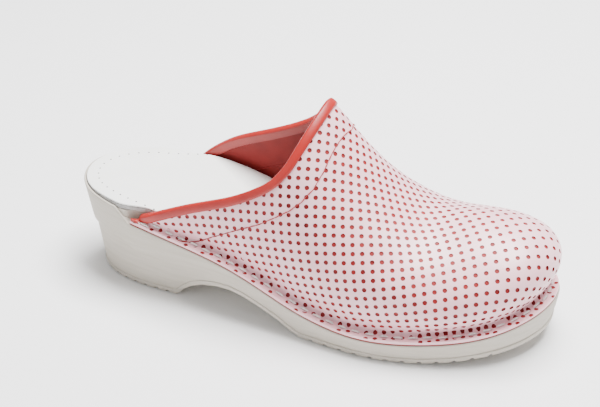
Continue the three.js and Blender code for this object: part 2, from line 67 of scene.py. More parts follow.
def spline(xs, ys):
    # natural cubic spline, held level past both ends
    xs, ys = np.array(xs, float), np.array(ys, float)
    n = len(xs)
    upper, right, bend = np.zeros(n), np.zeros(n), np.zeros(n)
    for i in range(1, n - 1):
        before, after = xs[i] - xs[i - 1], xs[i + 1] - xs[i]
        slopes = (ys[i + 1] - ys[i]) / after - (ys[i] - ys[i - 1]) / before
        pivot = 2 * (before + after) - before * upper[i - 1]
        upper[i] = after / pivot
        right[i] = (6 * slopes - before * right[i - 1]) / pivot
    for i in range(n - 2, 0, -1):
        bend[i] = right[i] - upper[i] * bend[i + 1]

    def at(x):
        x = np.clip(x, xs[0], xs[-1])
        i = np.clip(np.searchsorted(xs, x) - 1, 0, n - 2)
        h = xs[i + 1] - xs[i]
        a = (xs[i + 1] - x) / h
        b = 1 - a
        curved = ((a ** 3 - a) * bend[i] + (b ** 3 - b) * bend[i + 1]) * h * h / 6
        return a * ys[i] + b * ys[i + 1] + curved
    return at


def ramp(xs, ys):
    return lambda x: np.interp(x, xs, ys)


def smooth(x, low, high):
    t = np.clip((np.asarray(x, float) - low) / (high - low), 0, 1)
    return t * t * (3 - 2 * t)


def lerp(a, b, share):
    return a + (b - a) * share


def column(table, k):
    return [row[k] for row in table]


# Sole outline: share of the length, half widths to the outer and inner side
outline = [
    (0.00, 0.000, 0.000), (0.03, 0.212, 0.196), (0.09, 0.322, 0.303), (0.14, 0.366, 0.348),
    (0.19, 0.385, 0.378), (0.27, 0.395, 0.388), (0.38, 0.424, 0.372), (0.48, 0.456, 0.378),
    (0.58, 0.498, 0.414), (0.68, 0.536, 0.464), (0.78, 0.520, 0.488), (0.86, 0.466, 0.456),
    (0.93, 0.365, 0.351), (0.98, 0.205, 0.198), (1.00, 0.000, 0.000),
]
# Ledge under the upper's flange: height, and how much higher it is on the inner side
ledge = [
    (0.14, 0.820, 0.000), (0.19, 0.780, 0.060), (0.27, 0.695, 0.125), (0.40, 0.555, 0.140),
    (0.52, 0.340, 0.060), (0.65, 0.225, 0.000), (0.78, 0.250, 0.000), (0.90, 0.335, 0.000),
    (1.00, 0.480, 0.000),
]
# Ridge of the upper: height, and how far it lies to the inner side
ridge = [
    (0.16, 0.860, 0.2), (0.30, 0.950, 0.3), (0.42, 1.000, 0.5), (0.53, 1.000, 0.7),
    (0.57, 0.896, 0.8), (0.61, 0.780, 0.9), (0.67, 0.634, 1.0), (0.74, 0.539, 1.2),
    (0.80, 0.539, 1.3),
]
# Ribs of the upper: how upright they start, how flat they end, swell to outer and inner side
ribs = [
    (0.16, 0.34, 0.40, 0.080, 0.060), (0.35, 0.40, 0.46, 0.100, 0.060),
    (0.50, 0.44, 0.52, 0.130, 0.070), (0.60, 0.47, 0.54, 0.151, 0.085),
    (0.70, 0.60, 0.64, 0.168, 0.125), (0.85, 0.56, 0.62, 0.207, 0.184),
    (1.00, 0.98, 0.60, 0.226, 0.226),
]
# Collar: height on the outer and inner side
collar = [
    (0.184, 0.405, 0.400), (0.200, 0.425, 0.440), (0.240, 0.470, 0.520), (0.290, 0.520, 0.600),
    (0.340, 0.565, 0.660), (0.390, 0.615, 0.715), (0.440, 0.680, 0.775), (0.480, 0.760, 0.840),
    (0.505, 0.850, 0.900),
]
# The collar's short tail across the flange, as levels of the leather
tail = [(0.163, -0.80), (0.172, -0.35), (0.184, 0.00)]
neckStart = 0.494

outer, inner = -1, 1          # the two sides: outer is towards -y
halfSquare = {side: spline(column(outline, 0), [v * v for v in column(outline, k)])
              for side, k in ((outer, 1), (inner, 2))}
ledgeLine = spline(column(ledge, 0), column(ledge, 1))
ledgeRise = spline(column(ledge, 0), column(ledge, 2))
ridgeLine = spline(column(ridge, 0), column(ridge, 1))
ridgeInward = spline(column(ridge, 0), column(ridge, 2))
upright = spline(column(ribs, 0), column(ribs, 1))
crown = spline(column(ribs, 0), column(ribs, 2))
swell = {side: spline(column(ribs, 0), column(ribs, k)) for side, k in ((outer, 3), (inner, 4))}
collarHeight = {side: spline(column(collar, 0), column(collar, k))
                for side, k in ((outer, 1), (inner, 2))}
tailLevel = ramp(column(tail, 0), column(tail, 1))


def outlinePoint(side, along):
    half = shoe["ballWidth"] * np.sqrt(np.maximum(halfSquare[side](along), 0))
    centre = shoe["toeOffset"] * smooth(along, 0.5, 1)
    return along * shoe["soleLength"], centre + side * half


def insetPoint(side, along, distance):
    # a distance inside the outline, square to it
    along = np.asarray(along, float)
    x, y = outlinePoint(side, along)
    turn = np.arccos(np.clip(1 - 2 * along, -1, 1))
    share = lambda angle: (1 - np.cos(np.clip(angle, 0, math.pi))) / 2
    ax, ay = outlinePoint(side, share(turn - 0.01))
    bx, by = outlinePoint(side, share(turn + 0.01))
    atBack, atToe = along < 1e-6, along > 1 - 1e-6
    nx = np.where(atBack, 1.0, np.where(atToe, -1.0, (by - ay) * side))
    ny = np.where(atBack | atToe, 0.0, -(bx - ax) * side)
    size = np.hypot(nx, ny)
    return x + nx / size * distance, y + ny / size * distance


def ledgeHeight(side, along):
    return shoe["heelHeight"] * (ledgeLine(along) + (ledgeRise(along) if side == inner else 0))


def flangeAt(along):
    return lerp(0.55 * shoe["flangeWidth"], shoe["flangeWidth"], smooth(along, 0.18, 0.36))


def ridgePoint(along):
    x = along * shoe["soleLength"]
    y = shoe["toeOffset"] * ridgeInward(along)
    return np.stack([x, y, shoe["throatHeight"] * ridgeLine(along)], -1)


def ridgeSlope(along):
    step = ridgePoint(along + 0.005) - ridgePoint(along - 0.005)
    return step[..., 2] / step[..., 0]


def ribTopAlong(along):
    start, pole = shoe["fanStart"], shoe["pole"]
    u = np.maximum(along - start, 0) / (1 - start)
    rate = (1 - start) / (pole - start)
    eased = rate * (u - 2 * u * u + u ** 3) + 3 * u * u - 2 * u ** 3
    return np.where(along <= start, along, lerp(start, pole, eased))


def leatherPoint(side, along, level):
    # the leather's outer face: level -1 flange edge, -0.4 to 0 the bend, 0 to 1 wall to ridge
    along, level = np.broadcast_arrays(np.asarray(along, float), np.asarray(level, float))
    flange = flangeAt(along)
    top = ledgeHeight(side, along) + shoe["clearance"] + shoe["leather"]
    radius = shoe["filletRadius"]
    flat = (level + 1) / 0.6
    angle = (np.clip(level, -0.4, 0) + 0.4) / 0.4 * math.pi / 2
    inset = np.where(level < -0.4, lerp(shoe["edgeMargin"], flange - radius, flat),
                     flange - radius + radius * np.sin(angle))
    lowX, lowY = insetPoint(side, along, inset)
    low = np.stack([lowX, lowY, top + radius * (1 - np.cos(angle))], -1)
    x0, y0 = insetPoint(side, along, flange)
    ox, oy = insetPoint(side, along, flange - swell[side](along) * shoe["ballWidth"])
    z0 = top + radius
    ridgeTop = ridgePoint(ribTopAlong(along))
    x3, y3, z3 = ridgeTop[..., 0], ridgeTop[..., 1], ridgeTop[..., 2]
    rise, end = (z3 - z0) * upright(along), crown(along)
    slope = ridgeSlope(x3 / shoe["soleLength"])
    p0 = np.stack([x0, y0, z0], -1)
    p1 = np.stack([ox, oy, z0 + rise], -1)
    p2 = np.stack([lerp(x3, x0, end), lerp(y3, y0, end), z3 + slope * (x0 - x3) * end], -1)
    t = np.clip(level, 0, 1)[..., None]
    wall = (1 - t) ** 3 * p0 + 3 * (1 - t) ** 2 * t * p1 + 3 * (1 - t) * t * t * p2 + t ** 3 * ridgeTop
    return np.where(level[..., None] < 0, low, wall)


def unit(v):
    return v / np.maximum(np.linalg.norm(v, axis=-1, keepdims=True), 1e-12)


def oneSidedNormal(side, along, level):
    step = 0.004
    a = leatherPoint(side, np.maximum(along - step, 0), level)
    b = leatherPoint(side, np.minimum(along + step, 1), level)
    high = np.minimum(level + step, 1)
    c = leatherPoint(side, along, high - 2 * step)
    d = leatherPoint(side, along, high)
    return unit(np.cross(b - a, d - c)) * -side


def leatherNormal(side, along, level):
    along, level = np.broadcast_arrays(np.asarray(along, float), np.asarray(level, float))
    normal = oneSidedNormal(side, along, level)
    both = unit(oneSidedNormal(outer, along, level) + oneSidedNormal(inner, along, level))
    normal = np.where((along > 1 - 1e-6)[..., None], both, normal)
    slope = ridgeSlope(ridgePoint(ribTopAlong(along))[..., 0] / shoe["soleLength"])
    top = unit(np.stack([-slope, np.zeros_like(slope), np.ones_like(slope)], -1))
    return np.where((level > 1 - 1e-6)[..., None], top, normal)


def collarLevel(side, along):
    # by the table along the wing, found by halving, then round into the throat
    along = np.asarray(along, float)
    start, end = neckStart, shoe["throatAlong"]

    def byHeight(at):
        wanted = shoe["throatHeight"] * collarHeight[side](at)
        low, high = np.zeros_like(wanted), np.ones_like(wanted)
        for _ in range(30):
            middle = (low + high) / 2
            under = leatherPoint(side, at, middle)[..., 2] < wanted
            low, high = np.where(under, middle, low), np.where(under, high, middle)
        return low
    left = np.clip((end - along) / (end - start), 0, 1)
    neck = 1 - (1 - byHeight(np.array(start))) * np.sqrt(left)
    wing = byHeight(np.minimum(along, start))
    level = np.where(along > start, neck, wing)
    level = np.where(along < tail[-1][0], tailLevel(along), level)
    return np.where(along >= end, 1.0, level)


# From the shoe's own millimetres to the frame's metres
soleLow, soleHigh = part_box("sole")
evenly = np.linspace(0, 1, 2001)
yMiddle = (outlinePoint(outer, evenly)[1].min() + outlinePoint(inner, evenly)[1].max()) / 2
frameShift = np.array([
    soleLow[0] * 1000,
    (soleLow[1] + soleHigh[1]) * 500 - yMiddle,
    soleLow[2] * 1000,
])


def toFrame(points):
    return (np.asarray(points, float) + frameShift) * 0.001


def makeMesh(name, points, faces, material, slot=None, replaced=None, sharp=40, weld=0.004):
    mesh = bpy.data.meshes.new(name)
    mesh.from_pydata(toFrame(points).tolist(), [], [list(map(int, face)) for face in faces])
    obj = bpy.data.objects.new(name, mesh)
    bpy.context.scene.collection.objects.link(obj)
    shape = bmesh.new()
    shape.from_mesh(mesh)
    bmesh.ops.remove_doubles(shape, verts=shape.verts, dist=weld * 0.001)
    bmesh.ops.dissolve_degenerate(shape, edges=shape.edges, dist=1e-7)
    bmesh.ops.recalc_face_normals(shape, faces=shape.faces)
    shape.to_mesh(mesh)
    shape.free()
    return finishPiece(obj, material, slot, replaced, sharp)


def finishPiece(obj, material, slot, replaced, sharp):
    mesh = obj.data
    mesh.polygons.foreach_set("use_smooth", np.ones(len(mesh.polygons), bool))
    if sharp:
        mesh.set_sharp_from_angle(angle=math.radians(sharp))
    if material is not None:
        mesh.materials.clear()
        mesh.materials.append(material)
    if slot:
        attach(obj, "root")
    if replaced:
        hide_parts(replaced)
    return obj


def gridFaces(rows, columns, first=0, wrap=False):
    # quads of a grid whose points are stored row after row
    faces = []
    for i in range(rows - 1):
        for j in range(columns if wrap else columns - 1):
            k = (j + 1) % columns
            faces.append((first + i * columns + j, first + i * columns + k,
                          first + (i + 1) * columns + k, first + (i + 1) * columns + j))
    return faces


def cutWith(obj, cutter):
    # the cutter's material goes with the faces that it leaves
    change = obj.modifiers.new("cut", "BOOLEAN")
    change.operation = "DIFFERENCE"
    change.solver = "MANIFOLD"
    change.object = cutter
    change.material_mode = "TRANSFER"
    bpy.context.view_layer.objects.active = obj
    bpy.ops.object.modifier_apply(modifier=change.name)
    bpy.data.objects.remove(cutter)


# Materials
def newMaterial(name):
    material = bpy.data.materials.new(name)
    material.use_nodes = True
    return material, material.node_tree, material.node_tree.nodes["Principled BSDF"]


def addNode(tree, kind, values=None, **links):
    node = tree.nodes.new(kind)
    for key, value in (values or {}).items():
        if hasattr(node, key):
            setattr(node, key, value)
        else:
            node.inputs[key].default_value = value
    for key, source in links.items():
        tree.links.new(source, node.inputs[key.replace("_", " ")])
    return node


def noiseIn(tree, scale, detail=3.0, stretch=(1, 1, 1), roughness=0.5):
    # noise in the object's own space, in metres
    place = addNode(tree, "ShaderNodeTexCoord")
    mapping = addNode(tree, "ShaderNodeMapping", {"Scale": stretch}, Vector=place.outputs["Object"])
    return addNode(tree, "ShaderNodeTexNoise",
                   {"Scale": scale, "Detail": detail, "Roughness": roughness},
                   Vector=mapping.outputs["Vector"]).outputs["Fac"]


def colourBetween(tree, factor, dark, light, low=0.3, high=0.7):
    blend = addNode(tree, "ShaderNodeValToRGB", Fac=factor)
    blend.color_ramp.elements[0].position = low
    blend.color_ramp.elements[1].position = high
    blend.color_ramp.elements[0].color = (*dark, 1)
    blend.color_ramp.elements[1].color = (*light, 1)
    return blend.outputs["Color"]


def addBump(tree, shader, height, depth, strength=1.0, under=None):
    bump = addNode(tree, "ShaderNodeBump", {"Strength": strength, "Distance": depth * 0.001},
                   Height=height)
    if under is not None:
        tree.links.new(under, bump.inputs["Normal"])
    tree.links.new(bump.outputs["Normal"], shader.inputs["Normal"])
    return bump.outputs["Normal"]


def leatherMaterial():
    material, tree, shader = newMaterial("paleLeather")
    shade = noiseIn(tree, 60, 3)
    tree.links.new(colourBetween(tree, shade, (0.84, 0.49, 0.535), (0.89, 0.55, 0.595)),
                   shader.inputs["Base Color"])
    shader.inputs["Roughness"].default_value = 0.42
    shader.inputs["Coat Weight"].default_value = 0.3
    shader.inputs["Coat Roughness"].default_value = 0.28
    grain = addNode(tree, "ShaderNodeTexVoronoi", {"Scale": 1500.0},
                    Vector=addNode(tree, "ShaderNodeTexCoord").outputs["Object"])
    fine = addBump(tree, shader, grain.outputs["Distance"], 0.03, 0.5)
    addBump(tree, shader, noiseIn(tree, 220, 4), 0.12, 0.35, fine)
    return material


def redMaterial(name, dark, light, roughness, grainDepth=0.05):
    material, tree, shader = newMaterial(name)
    tree.links.new(colourBetween(tree, noiseIn(tree, 90, 4), dark, light), shader.inputs["Base Color"])
    shader.inputs["Roughness"].default_value = roughness
    grain = addNode(tree, "ShaderNodeTexVoronoi", {"Scale": 1300.0},
                    Vector=addNode(tree, "ShaderNodeTexCoord").outputs["Object"])
    fine = addBump(tree, shader, grain.outputs["Distance"], grainDepth, 0.6)
    addBump(tree, shader, noiseIn(tree, 300, 3), 0.12, 0.4, fine)
    return material


def soleMaterial():
    material, tree, shader = newMaterial("paleSoleRubber")
    streaks = noiseIn(tree, 34, 6, (1, 1, 14), 0.62)
    tree.links.new(colourBetween(tree, streaks, (0.45, 0.41, 0.345), (0.53, 0.485, 0.42)),
                   shader.inputs["Base Color"])
    shader.inputs["Roughness"].default_value = 0.62
    lines = addBump(tree, shader, noiseIn(tree, 46, 6, (1, 1, 16), 0.6), 0.22, 0.5)
    addBump(tree, shader, noiseIn(tree, 900, 2), 0.05, 0.4, lines)
    return material


def insoleMaterial():
    material, tree, shader = newMaterial("whiteInsoleLeather")
    tree.links.new(colourBetween(tree, noiseIn(tree, 45, 4), (0.86, 0.86, 0.83), (0.90, 0.90, 0.875)),
                   shader.inputs["Base Color"])
    shader.inputs["Roughness"].default_value = 0.6
    addBump(tree, shader, noiseIn(tree, 1100, 3), 0.04, 0.5)
    return material


def boardMaterial():
    material, tree, shader = newMaterial("roughBoard")
    fibres = noiseIn(tree, 500, 5, (1, 1, 3), 0.7)
    tree.links.new(colourBetween(tree, fibres, (0.26, 0.25, 0.24), (0.62, 0.61, 0.59)),
                   shader.inputs["Base Color"])
    shader.inputs["Roughness"].default_value = 0.9
    addBump(tree, shader, fibres, 0.35, 0.9)
    return material


def threadMaterial(name, dark, light, twist):
    material, tree, shader = newMaterial(name)
    tree.links.new(colourBetween(tree, noiseIn(tree, 700, 3), dark, light), shader.inputs["Base Color"])
    shader.inputs["Roughness"].default_value = 0.55
    strands = addNode(tree, "ShaderNodeTexWave",
                      {"Scale": twist, "Distortion": 0.6, "bands_direction": "DIAGONAL"},
                      Vector=addNode(tree, "ShaderNodeTexCoord").outputs["Object"])
    addBump(tree, shader, strands.outputs["Fac"], 0.15, 0.8)
    return material


paleLeather = leatherMaterial()
redLining = redMaterial("redLining", (0.20, 0.004, 0.003), (0.27, 0.007, 0.005), 0.72)
redBinding = redMaterial("redBinding", (0.30, 0.006, 0.004), (0.38, 0.010, 0.006), 0.42)
redDots = redMaterial("redDots", (0.20, 0.002, 0.003), (0.28, 0.004, 0.006), 0.65, grainDepth=0.02)
soleRubber = soleMaterial()
insoleLeather = insoleMaterial()
pinholeShade, _, shadeShader = newMaterial("pinholeShade")
shadeShader.inputs["Base Color"].default_value = (0.16, 0.15, 0.14, 1)
shadeShader.inputs["Roughness"].default_value = 0.9
boardFibre = boardMaterial()
paleThread = threadMaterial("paleThread", (0.74, 0.73, 0.70), (0.88, 0.87, 0.84), 420.0)
redThread = threadMaterial("redThread", (0.26, 0.006, 0.006), (0.36, 0.012, 0.012), 500.0)
print("materials made")

# Sole and footbed
sole = {
    "rimWidth": 1.4,
    "rimFall": 2.0,
    "insoleRise": 0.7,
    "coverThickness": 0.9,
    "boardThickness": 2.0,
    "boardGap": 0.8,
    "boardOverhang": 1.6,
    "archRise": 14.4,
    "toeSpring": 8.5,
    "bandHeight": 3.2,
    "bandStep": 0.6,
    "heelStepDepth": 1.3,
    "heelStepSlope": 2.0,
    "heelStepShare": 0.56,
    "heelLean": 9.6,
    "bottomBevel": 1.3,
    "topBevel": 0.6,
    "wallDraft": 0.1,
    "rimEnd": 0.126,          # share of the length where the rim's slope down starts
    "ledgeStart": 0.160,
    "grooveWidth": 2.6,
    "grooveDepth": 1.8,
    "treadZones": [(0.065, 0.24, 7.2), (0.565, 0.93, 8.4)],   # first, last, pitch
    "stationStep": 0.8,
    "acrossCount": 28,
}
footbed = [(0.14, 0.165), (0.20, 0.190), (0.28, 0.215), (0.36, 0.215), (0.50, 0.175),
           (0.70, 0.110), (1.00, 0.100)]
# Underside: share of the arch's rise, then of the toe spring
underside = [
    (0.000, 0.00, 0.00), (0.248, 0.00, 0.00), (0.256, 0.12, 0.00), (0.266, 0.32, 0.00),
    (0.284, 0.57, 0.00), (0.310, 0.79, 0.00), (0.345, 0.95, 0.00), (0.380, 1.00, 0.00),
    (0.410, 0.91, 0.00), (0.450, 0.68, 0.00), (0.490, 0.41, 0.00), (0.515, 0.17, 0.00),
    (0.540, 0.00, 0.00), (0.720, 0.00, 0.00), (0.780, 0.00, 0.06), (0.850, 0.00, 0.28),
    (0.920, 0.00, 0.62), (1.000, 0.00, 1.00),
]
lean = [(0.00, 1.00), (0.03, 0.83), (0.09, 0.67), (0.25, 0.65), (0.40, 0.42), (0.55, 0.27),
        (1.00, 0.25)]
footbedRise = spline(column(footbed, 0), column(footbed, 1))
archLine = ramp(column(underside, 0), column(underside, 1))
springLine = ramp(column(underside, 0), column(underside, 2))
leanIn = ramp(column(lean, 0), column(lean, 1))


def insoleTop(side, along):
    forward = ledgeHeight(side, along) + shoe["heelHeight"] * footbedRise(along)
    return lerp(shoe["heelHeight"] + sole["insoleRise"], forward, smooth(along, 0.1, 0.24))


def soleTop(side, along):
    rim = shoe["heelHeight"] - sole["rimFall"] * along / sole["rimEnd"]
    share = np.clip((along - sole["rimEnd"]) / (sole["ledgeStart"] - sole["rimEnd"]), 0, 1)
    return lerp(rim, ledgeHeight(side, along), share)


def undersideHeight(along):
    return sole["archRise"] * archLine(along) + sole["toeSpring"] * springLine(along)


def insoleInset(side, along):
    # inside the rim at the heel, and forward inside the wall and the binding
    bindingRoom = binding["gap"] + binding["thickness"]
    plain = flangeAt(along) + shoe["leather"] + bindingRoom + shoe["clearance"]
    return lerp(sole["rimWidth"] + shoe["clearance"], plain, smooth(along, 0.13, 0.2))


binding = {
    "thickness": 1.0,
    "gap": 0.2,               # between binding and leather
    "outerLeg": 3.6,
    "innerLeg": 4.4,
    "tuck": 0.12,             # swell of the outer leg
    "step": 1.3,
}


def grooveAt(x):
    # depth of the tread's grooves, a V with a narrow flat bottom
    depth = np.zeros_like(x)
    for first, last, pitch in sole["treadZones"]:
        start = first * shoe["soleLength"]
        count = math.ceil((last * shoe["soleLength"] - start) / pitch)
        nearest = start + pitch * np.clip(np.round((x - start) / pitch), 0, count - 1)
        away = np.abs(x - nearest) / (sole["grooveWidth"] / 2)
        depth = np.maximum(depth, sole["grooveDepth"] * np.clip((1 - away) / 0.5, 0, 1))
    return depth


def soleProfile(side, along):
    # the outer profile at each station, from the tread up over the rim to the pedestal
    bottom = undersideHeight(along)
    top = soleTop(side, along)
    foot = sole["heelLean"] * leanIn(along)
    bevel, band, bandStep = sole["bottomBevel"], sole["bandHeight"], sole["bandStep"]
    stepAt = lerp(bottom, top, sole["heelStepShare"])
    heelShare = 1 - smooth(along, 0.19, 0.25)
    leanAt = lambda z: foot * (1 - (z - bottom) / (top - bottom))

    def wallInset(z):
        up = z - bottom
        corner = bevel * (1 - np.sqrt(np.clip(1 - (1 - np.clip(up / bevel, 0, 1)) ** 2, 0, 1)))
        step = bandStep * smooth(up, band, band + bandStep)
        rise = np.clip((z - bottom - band - bandStep) / (stepAt - bottom - band - bandStep), 0, 1)
        out = sole["heelStepDepth"] * heelShare * (1 - smooth(z, stepAt, stepAt + sole["heelStepSlope"]))
        above = bandStep * (1 - rise) + out * rise
        return leanAt(z) + corner + np.where(up < band + bandStep, step, above)

    groove = grooveAt(along * shoe["soleLength"])
    past = smooth(along, (sole["rimEnd"] + sole["ledgeStart"]) / 2, sole["ledgeStart"])
    inside = lerp(sole["rimWidth"], insoleInset(side, along) + sole["boardOverhang"], past)
    floor = (insoleTop(side, along) - sole["coverThickness"] - shoe["clearance"]
             - sole["boardThickness"] - lerp(shoe["clearance"], sole["boardGap"], past))
    rows = []
    for share in (0, 0.08, 0.2, 0.4, 0.7, 0.97):
        z = lerp(bottom + groove, bottom + band, share)
        rows.append((wallInset(z), z))
    for share in (0.25, 0.5, 0.75, 1.0):
        z = bottom + band + bandStep * share
        rows.append((wallInset(z), z))
    for share in (0.12, 0.25, 0.4, 0.55, 0.7, 0.82, 0.9, 0.95, 0.98, 1.0):
        z = lerp(bottom + band + bandStep, stepAt, share)
        rows.append((wallInset(z), z))
    for share in (0.2, 0.4, 0.6, 0.8, 1.0):
        z = stepAt + sole["heelStepSlope"] * share
        rows.append((wallInset(z), z))
    edge = sole["topBevel"]
    for share in (0.3, 0.6, 0.85, 1.0):
        z = lerp(stepAt + sole["heelStepSlope"], top - edge, share)
        rows.append((wallInset(z), z))
    start = wallInset(top - edge)
    for angle in (0.35, 0.8, 1.2, math.pi / 2):
        rows.append((start + edge * (1 - math.cos(angle)), top - edge + edge * math.sin(angle)))
    rows.append((inside - sole["wallDraft"] - 0.15, top))
    rows.append((inside - sole["wallDraft"], top - 0.15))
    rows.append((inside, floor))
    points = []
    for inset, z in rows:
        x, y = insetPoint(side, along, inset)
        points.append(np.stack([x, y, z + 0 * along], -1))
    return np.stack(points, 1)


def loft(profile, stations, across):
    # a closed solid from mirrored profiles that meet at both ends, with points across the
    # top and the bottom
    left, right = profile(outer, stations), profile(inner, stations)
    shares = np.linspace(0, 1, across + 1)[1:-1][None, :, None]
    top = lerp(left[:, -1:], right[:, -1:], shares)
    bottom = lerp(right[:, :1], left[:, :1], shares)
    rings = np.concatenate([left, top, right[:, ::-1], bottom], 1)
    count = rings.shape[1]
    return rings.reshape(-1, 3), gridFaces(len(stations), count, wrap=True)


def stationsBetween(step, extra=()):
    # shares of the length, a step apart along the outline, closer at both ends
    turn = np.linspace(0, math.pi, 4001)
    share = (1 - np.cos(turn)) / 2
    x, y = outlinePoint(outer, share)
    run = np.concatenate([[0], np.cumsum(np.hypot(np.diff(x), np.diff(y)))])
    even = np.interp(np.arange(0, run[-1], step), run, share)
    return np.unique(np.concatenate([even, [1.0], extra]))


grooveEdges = []
for first, last, pitch in sole["treadZones"]:
    for x in np.arange(first * shoe["soleLength"], last * shoe["soleLength"], pitch):
        for offset in (-0.5, -0.25, 0.25, 0.5):
            grooveEdges.append((x + offset * sole["grooveWidth"]) / shoe["soleLength"])
soleStations = stationsBetween(sole["stationStep"], grooveEdges + [0.248, sole["rimEnd"]])
points, faces = loft(soleProfile, soleStations, sole["acrossCount"])
makeMesh("sole_body", points, faces, soleRubber, "sole", "sole", sharp=32)
print("sole made:", len(faces), "faces")


def layerProfile(depth, thickness, rounding):
    # the edge of a thin layer of the footbed, a depth under the insole's face
    def profile(side, along):
        edge = insoleInset(side, along)
        top = insoleTop(side, along) - depth
        rows = []
        for angle in np.linspace(0, math.pi / 2, 4):
            rows.append((edge + rounding * (1 - math.sin(angle)), top - thickness
                         + rounding * (1 - math.cos(angle))))
        for angle in np.linspace(0, math.pi / 2, 5):
            rows.append((edge + rounding * (1 - math.cos(angle)), top - rounding
                         + rounding * math.sin(angle)))
        points = []
        for inset, z in rows:
            x, y = insetPoint(side, along, inset)
            points.append(np.stack([x, y, z + 0 * along], -1))
        return np.stack(points, 1)
    return profile


layerStations = stationsBetween(2.0)
boardDepth = sole["coverThickness"] + shoe["clearance"]
points, faces = loft(layerProfile(boardDepth, sole["boardThickness"], 0.15), layerStations, 10)
makeMesh("insole_board_edge", points, faces, boardFibre, "board", "insole_board")
points, faces = loft(layerProfile(0, sole["coverThickness"], 0.35), layerStations, 16)
cover = makeMesh("insole_face", points, faces, None, sharp=50)

pinholes = {
    "inset": 8.0,             # from the outline
    "pitch": 5.6,
    "diameter": 1.0,
    "depth": 0.6,
    "last": 0.40,             # share of the length where the row ends
}


def roundPegs(name, centres, axes, radius, depth, sides, material):
    # small cylinders to cut holes with; they stand above the face by a safe height
    above = 1.5
    axes = unit(np.asarray(axes, float))
    helper = np.where(np.abs(axes[:, 2:]) < 0.9, [[0.0, 0.0, 1.0]], [[1.0, 0.0, 0.0]])
    u = unit(np.cross(axes, helper))
    v = np.cross(axes, u)
    angles = np.arange(sides) * 2 * math.pi / sides
    ring = (np.cos(angles)[None, :, None] * u[:, None] + np.sin(angles)[None, :, None] * v[:, None])
    low = centres[:, None] + ring * radius - axes[:, None] * depth
    high = centres[:, None] + ring * radius + axes[:, None] * above
    points = np.concatenate([low, high], 1).reshape(-1, 3)
    faces = []
    for i in range(len(centres)):
        base = i * 2 * sides
        faces.append([base + sides - 1 - k for k in range(sides)])
        faces.append([base + sides + k for k in range(sides)])
        for k in range(sides):
            n = (k + 1) % sides
            faces.append([base + k, base + n, base + sides + n, base + sides + k])
    mesh = bpy.data.meshes.new(name)
    mesh.from_pydata(toFrame(points).tolist(), [], faces)
    mesh.materials.append(material)
    obj = bpy.data.objects.new(name, mesh)
    bpy.context.scene.collection.objects.link(obj)
    return obj


def evenOnInset(inset, pitch, first, last):
    # points a pitch apart on a line inside the outline, from the outer side round the heel
    count = 800
    backward = np.linspace(last, first, count) ** 2 / last
    share = np.concatenate([backward, backward[::-1]])
    sides = np.repeat([outer, inner], count)
    line = np.zeros((2 * count, 3))
    for side in (outer, inner):
        pick = sides == side
        x, y = insetPoint(side, share[pick], inset)
        line[pick] = np.stack([x, y, insoleTop(side, share[pick])], -1)
    run = np.concatenate([[0], np.cumsum(np.linalg.norm(np.diff(line, axis=0), axis=1))])
    at = np.arange(pitch / 2, run[-1], pitch)
    return np.stack([np.interp(at, run, line[:, k]) for k in range(3)], -1)


holes = evenOnInset(pinholes["inset"], pinholes["pitch"], 0.0, pinholes["last"])
up = np.tile([0.0, 0.0, 1.0], (len(holes), 1))
cover.data.materials.append(insoleLeather)
cutWith(cover, roundPegs("pinholePegs", holes, up, pinholes["diameter"] / 2, pinholes["depth"], 8,
                         pinholeShade))
finishPiece(cover, None, "insole", "insole_cover", 45)
print("footbed made:", len(holes), "pinholes")

# Upper: columns of its grid by share of the length at the flange (foot) and collar (top)
columnTable = [(f, f) for f in (0.163, 0.172, 0.176, 0.180, 0.184, 0.190, 0.199, 0.216, 0.240)]
columnTable += [(0.270, 0.268), (0.302, 0.300), (0.335, 0.334), (0.368, 0.368), (0.400, 0.400),
                (0.428, 0.428), (0.452, 0.452), (0.475, 0.474), (0.496, neckStart)]
vampFoot = 0.6
for f in np.linspace(0, 1, 25)[1:]:
    columnTable.append((lerp(0.496, vampFoot, f),
                        shoe["throatAlong"] - (shoe["throatAlong"] - neckStart) * (1 - f) ** 2))
for f in np.sin(np.linspace(0, 1, 41)[1:] * math.pi / 2):
    columnTable.append((lerp(vampFoot, 1, f), lerp(shoe["throatAlong"], 1, f)))

upper = {
    "leatherLayer": 1.45,     # pale leather outside, red lining under it
    "liningGap": 0.05,
    "columnStep": 1.75,       # of the fine mesh, along the flange
    "wallRows": 24,
    "dotDiameter": 2.45,
    "dotPitch": 4.65,
    "dotTurn": 37.0,          # turn of the lattice in the flat pattern, degrees
    "dotShift": (0.0, 0.0),
    "dotSides": 10,
    "dotDepth": 0.3,
    "liningStep": 2.6,
    "liningRows": 20,
}
pattern = {"columnStep": 7.5, "wallRows": 12, "rounds": 200}
flangeLevels = [-1, -0.9, -0.78, -0.65, -0.52, -0.4, -0.3, -0.2, -0.1, 0]

stitches = {
    "pitch": 7.4,
    "length": 5.2,
    "thickness": 1.3,
    "inset": 4.4,             # from the sole's outline
    "dentDepth": 0.45,
    "dentLength": 0.62,       # half of the dent, in stitch lengths
    "dentWidth": 2.6,         # half of the dent, across
    "first": 0.175,           # share of the length where they start
    "lift": 0.32,
    "bow": 0.35,
    "wobble": 0.25,
    "skew": 0.04,
}


def flangeRun(side, inset, first=0.163):
    # share of the length against the run along a line inside the outline
    toeStart = 0.9
    toe = toeStart + (1 - toeStart) * np.sin(np.linspace(0, math.pi / 2, 600))
    share = np.unique(np.concatenate([np.linspace(first, toeStart, 1500), toe]))
    x, y = insetPoint(side, share, inset)
    run = np.concatenate([[0], np.cumsum(np.hypot(np.diff(x), np.diff(y)))])
    return share, run


